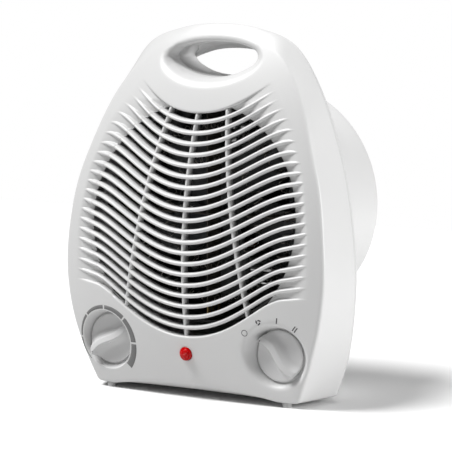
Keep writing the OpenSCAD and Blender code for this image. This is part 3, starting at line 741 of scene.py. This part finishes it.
def build_knob(name, node, side, pointer, body):
    """A thin disc with a ridge that bends like an S and ends bluntly at the rim."""
    rim = circle(0, 0, KNOB_R, 200)
    lines = [circle(0, 0, KNOB_R * r, 180) for r in (0.94, 0.955, 0.97, 0.985)]
    p = np.arange(-17, 17, 0.55)
    for d in (0, 0.9, 1.5, 2.0, 2.6, 3.3, 4.1, 5.0):
        for sign in (-1, 1):
            lines.append(np.stack([p, -5.4 * (p / KNOB_R) * (1 - (p / KNOB_R) ** 2) + sign * d], 1))
    flat, tris = triangulate(rim, [], np.concatenate(lines), 0.85)
    b = Builder()
    b.add(knob_place(*flat.T, side, pointer, knob_height(*flat.T)), tris)
    top = knob_height(*rim.T)
    walls = [top, np.maximum(0.4, top - 0.5), np.maximum(0.2, 0.5 * top), 0 * top]
    b.rings([knob_place(*rim.T, side, pointer, h) for h in walls], cap_end=True)
    knob = b.make(name, KNOB, body=body, weld=0.01)
    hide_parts(node)
    dot = circle(16.2, 0, 0.45, 12)
    mark = Builder()
    mark.add(knob_place(*dot.T, side, pointer, knob_height(*dot.T) + 0.06), [tuple(range(12))])
    piece = mark.make(name + "_dot", INK_DARK, body=body)
    return knob


def print_patch(b, outer):
    """A thin printed patch that lies on the front surface."""
    flat, tris = triangulate(outer, [], np.zeros((0, 2)), 1.2)
    b.add(lift(flat, front_y(*flat.T) - 0.06), tris)


def arc_patch(cx, cz, r0, r1, r0_end, r1_end, a0, a1):
    """An arc whose inner and outer radii change from start to end."""
    n = max(6, int(abs(a1 - a0) / 2.5))
    a = np.radians(np.linspace(a0, a1, n))
    t = np.linspace(0, 1, n)
    out = np.stack([cx + (r1 + (r1_end - r1) * t) * np.cos(a), cz + (r1 + (r1_end - r1) * t) * np.sin(a)], 1)
    ins = np.stack([cx + (r0 + (r0_end - r0) * t) * np.cos(a), cz + (r0 + (r0_end - r0) * t) * np.sin(a)], 1)
    loop = np.concatenate([out, ins[::-1]])
    area = np.sum(loop[:, 0] * np.roll(loop[:, 1], -1) - np.roll(loop[:, 0], -1) * loop[:, 1])
    return loop if area > 0 else loop[::-1]


def bar_patch(cx, cz, length, width, angle):
    c, s = math.cos(math.radians(angle)), math.sin(math.radians(angle))
    l, w = length / 2, width / 2
    corners = [(-l, -w), (l, -w), (l, w), (-l, w)]
    return np.array([(cx + p * c - q * s, cz + p * s + q * c) for p, q in corners])


def build_prints():
    scale = Builder()
    inner = DISH_R + 0.9
    gap = 1.6
    for k in range(6):
        start = 225 - 45 * k
        widths = [0.5 + 4.6 * (k + e) / 6 for e in (0, 1)]
        loop = arc_patch(-KNOB_X, KNOB_Z, inner, inner + widths[0], inner, inner + widths[1],
                         start - gap, start - 45 + gap)
        print_patch(scale, loop)
    marks = Builder()
    reach = 26.6
    at = {a: (KNOB_X + reach * math.cos(math.radians(a)), KNOB_Z + reach * math.sin(math.radians(a)))
          for a in (143, 113, 83, 53)}
    x, z = at[143]
    for a in range(0, 360, 60):
        print_patch(marks, arc_patch(x, z, 1.85, 2.3, 1.85, 2.3, a, a + 60))
    x, z = at[113]
    for a in range(0, 360, 120):
        print_patch(marks, arc_patch(x, z, 1.1, 2.3, 0.5, 1.5, a + 20, a + 115))
    x, z = at[83]
    print_patch(marks, bar_patch(x, z, 4.0, 0.8, 83))
    x, z = at[53]
    for s in (-0.85, 0.85):
        c = math.radians(53 + 90)
        print_patch(marks, bar_patch(x + s * math.cos(c), z + s * math.sin(c), 4.0, 0.75, 53))
    out = []
    for name, b, ink in (("thermostat_scale_print", scale, INK), ("selector_marks_print", marks, INK_DARK)):
        piece = b.make(name, ink)
        mod = piece.modifiers.new("ink", "SOLIDIFY")
        mod.thickness = 0.05 * MM
        mod.offset = -1
        out.append(piece)
    return out


def build_lens():
    """A faceted red dome with a plain rim."""
    seat = float(front_y(np.array(0.0), np.array(LAMP_Z))) + 0.6
    b = Builder()
    rings = []
    for r, h in ((LAMP_R - 0.1, 0), (LAMP_R - 0.1, 1.5), (LAMP_R - 0.4, 1.9), (LAMP_R - 1.1, 2.1)):
        rings.append(lift(circle(0, LAMP_Z, r, 36), seat - h))
    for i, a in enumerate(np.radians([8, 26, 44, 62, 78])):
        ring = circle(0, LAMP_Z, (LAMP_R - 1.2) * math.cos(a), 36)
        facet = np.where((np.arange(36) + i * 2) % 6 < 3, 0.42, -0.2)
        rings.append(lift(ring, seat - 2.0 - 2.4 * math.sin(a) - facet * math.cos(a)))
    b.rings(rings, cap_start=True, cap_end=True)
    lens = b.make("lamp_lens", RED, smooth=False)
    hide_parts("indicator_lens")
    return lens


# ---------------------------------------------------------------- heating coils and fan
def build_coil(name, node, ring_r, wave_h, turns):
    """Zig-zag nichrome ribbon wound round the mica cross."""
    y0, n = -24.0, turns * 8
    a = np.arange(n) * 2 * math.pi / n
    phase = a * turns
    r = ring_r + wave_h * 0.5 * np.cos(phase)
    y = y0 + wave_h * np.sin(phase)
    path = np.stack([r * np.cos(a), y, AXIS_Z + r * np.sin(a)], 1)
    ahead = np.roll(path, -1, 0) - np.roll(path, 1, 0)
    ahead /= np.linalg.norm(ahead, axis=1)[:, None]
    up = np.cross(ahead, [0, 1, 0.01])
    up /= np.linalg.norm(up, axis=1)[:, None]
    side = np.cross(ahead, up)
    wire_r, rings = 0.42, []
    for k in range(6):
        t = k * math.pi / 3
        rings.append(path + wire_r * (math.cos(t) * up + math.sin(t) * side))
    verts = np.stack(rings, 1).reshape(-1, 3)
    faces = [(6 * i + j, 6 * i + (j + 1) % 6, 6 * ((i + 1) % n) + (j + 1) % 6, 6 * ((i + 1) % n) + j)
             for i in range(n) for j in range(6)]
    piece = make(name, verts, faces, NICHROME)
    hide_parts(node)
    return piece


def build_fan():
    """Five twisted blades on a domed hub."""
    b = Builder()
    hub = [(0.1, -9.2), (5, -9.0), (10, -8.2), (13.5, -6.4), (15, -3.5), (15, 8), (2.2, 8), (2.2, 6)]
    b.rings([lift(circle(0, AXIS_Z, r, 48), y) for r, y in hub], cap_start=True, cap_end=True)
    for k in range(5):
        base = -math.radians(72 * k + 18)
        rings = []
        for i in range(15):
            r = 13 + (66.5 - 13) * i / 14
            pitch = math.radians(46 - 22 * i / 14)
            chord = 30 + 21 * math.sin(math.pi * (i / 14) ** 0.8) + 8 * i / 14
            ring = []
            for s, th in [(-0.5, 0), (-0.3, 0.7), (0, 0.9), (0.3, 0.7),
                          (0.5, 0), (0.3, -0.7), (0, -0.9), (-0.3, -0.7)]:
                c = s * chord
                camber = 2.4 * (1 - 4 * s * s)
                tang = c * math.cos(pitch)
                y = th - camber - c * math.sin(pitch) * 0.62
                ang = base + tang / r
                ring.append((r * math.cos(ang), y, AXIS_Z + r * math.sin(ang)))
            rings.append(np.array(ring))
        b.rings(rings, cap_start=True, cap_end=True)
    fan = b.make("fan_wheel", FAN, body="fan")
    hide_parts("fan_impeller")
    return fan


def build_housing_screws():
    """The six long screws that draw the shells together, with pan heads under the rear shell."""
    b = Builder()
    for x, z in HOUSING_SCREWS:
        profile = [(0.2, -24), (1.5, -22), (1.5, -6), (3.1, -6), (3.1, -4.6), (2.4, -3.8), (0.2, -3.6)]
        b.rings([lift(circle(x, z, r, 24), y) for r, y in profile], cap_start=True, cap_end=True)
    screws = b.make("housing_screw_set", OXIDE)
    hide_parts("housing_screws")
    return screws


# ---------------------------------------------------------------- carried-over CAD nodes
FINISHES = {
    "heater_duct": DUCT_PAINTED_SHADE, "mica_cross": MICA, "coil_terminals": BRASS, "thermal_cutout": BLACK,
    "thermal_fuse": STEEL, "impeller_nut": OXIDE, "motor_shaft": GROUND, "motor_rotor": OXIDE,
    "motor_stator": LAMINATE, "coil_bobbin": NYLON, "motor_winding": COPPER,
    "motor_front_bracket": STEEL, "motor_rear_bracket": STEEL, "motor_bearings": BRONZE,
    "motor_screws": STEEL, "motor_plate": DUCT_PAINTED_SHADE, "plate_screws": STEEL, "duct_screws": STEEL,
    "thermostat_spindle": GROUND, "thermostat_body": BLACK, "thermostat_screws": STEEL,
    "selector_spindle": GROUND, "selector_switch": BLACK, "selector_screws": STEEL,
    "neon_lamp": NEON, "lamp_sleeve": NYLON, "terminal_block": NYLON, "supply_wires": WIRE_BLACK,
    "control_wires": WIRE_RED, "cord_gland": SHELL, "cord_clamp": NYLON, "clamp_screws": STEEL,
    "feet": FOOT,
}


def dress_nodes():
    for name, material in FINISHES.items():
        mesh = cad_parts[name].data
        mesh.materials.clear()
        mesh.materials.append(material)


build_front()
build_bars()
build_ribs()
build_rear()
build_knob("thermostat_dial_knob", "thermostat_knob", -1, 218, "thermostat_dial")
build_knob("selector_dial_knob", "selector_knob", 1, 139, "selector_dial")
build_prints()
build_lens()
build_coil("heating_coil_inner", "inner_coil", 38, 5.5, 46)
build_coil("heating_coil_outer", "outer_coil", 62, 5.5, 72)
build_fan()
build_housing_screws()
dress_nodes()


# ---------------------------------------------------------------- stage, light and camera
def build_stage():
    """A pale floor that throws back less light than it shows."""
    mat = bpy.data.materials.new("stage_paper")
    mat.use_nodes = True
    nodes, links = mat.node_tree.nodes, mat.node_tree.links
    shader = nodes["Principled BSDF"]
    shader.inputs["Roughness"].default_value = 0.9
    tone = nodes.new("ShaderNodeMix")
    tone.data_type = "RGBA"
    tone.inputs["A"].default_value = (0.62, 0.62, 0.62, 1)
    tone.inputs["B"].default_value = (0.95, 0.95, 0.95, 1)
    links.new(nodes.new("ShaderNodeLightPath").outputs["Is Camera Ray"], tone.inputs["Factor"])
    links.new(tone.outputs["Result"], shader.inputs["Base Color"])
    reach = 0.9
    mesh = bpy.data.meshes.new("stage")
    mesh.from_pydata([(-reach, -reach, 0), (reach, -reach, 0), (reach, reach, 0), (-reach, reach, 0)], [],
                     [(0, 1, 2, 3)])
    mesh.materials.append(mat)
    floor = bpy.data.objects.new("stage", mesh)
    bpy.context.scene.collection.objects.link(floor)


def aim_light(obj, at, aim):
    obj.location = at
    obj.rotation_euler = (Vector(aim) - Vector(at)).to_track_quat("-Z", "Y").to_euler()
    bpy.context.scene.collection.objects.link(obj)


def area_light(name, at, aim, size, power):
    data = bpy.data.lights.new(name, "AREA")
    data.shape = "RECTANGLE"
    data.size, data.size_y = size
    data.energy = power
    aim_light(bpy.data.objects.new(name, data), at, aim)


def build_lights():
    """White surroundings that light the piece softly, a broad high key and a strip on the right."""
    world = bpy.data.worlds.new("studio")
    world.use_nodes = True
    tree = world.node_tree
    tree.nodes.clear()
    glow = tree.nodes.new("ShaderNodeBackground")
    glow.inputs["Strength"].default_value = 0.13
    sight = tree.nodes.new("ShaderNodeBackground")
    for node in (glow, sight):
        node.inputs["Color"].default_value = (1, 1, 1, 1)
    path = tree.nodes.new("ShaderNodeLightPath")
    mix = tree.nodes.new("ShaderNodeMixShader")
    out = tree.nodes.new("ShaderNodeOutputWorld")
    tree.links.new(path.outputs["Is Camera Ray"], mix.inputs["Fac"])
    tree.links.new(glow.outputs[0], mix.inputs[1])
    tree.links.new(sight.outputs[0], mix.inputs[2])
    tree.links.new(mix.outputs[0], out.inputs["Surface"])
    bpy.context.scene.world = world
    sun = bpy.data.lights.new("high_key", "SUN")
    sun.energy = 3.8
    sun.angle = math.radians(26)
    aim_light(bpy.data.objects.new("high_key", sun), (-1.0, -0.8, 2.3), (0, 0, 0))
    area_light("right_strip", (1.7, 0.6, 0.5), (0.1, 0, 0.12), (0.7, 0.9), 26)


def build_camera():
    azimuth, elevation = math.radians(31.0), math.radians(7.0)
    distance, aim = 1.4576, Vector((0.0155, -0.033, 0.1213))
    back = Vector((math.sin(azimuth) * math.cos(elevation), -math.cos(azimuth) * math.cos(elevation),
                   math.sin(elevation)))
    data = bpy.data.cameras.new("camera")
    data.lens = 164.7
    data.sensor_width = 36
    data.clip_end = 30
    cam = bpy.data.objects.new("camera", data)
    bpy.context.scene.collection.objects.link(cam)
    cam.location = aim + back * distance
    cam.rotation_euler = (-back).to_track_quat("-Z", "Y").to_euler()
    bpy.context.scene.camera = cam


build_stage()
build_lights()
build_camera()
bpy.context.scene.view_settings.view_transform = "Standard"
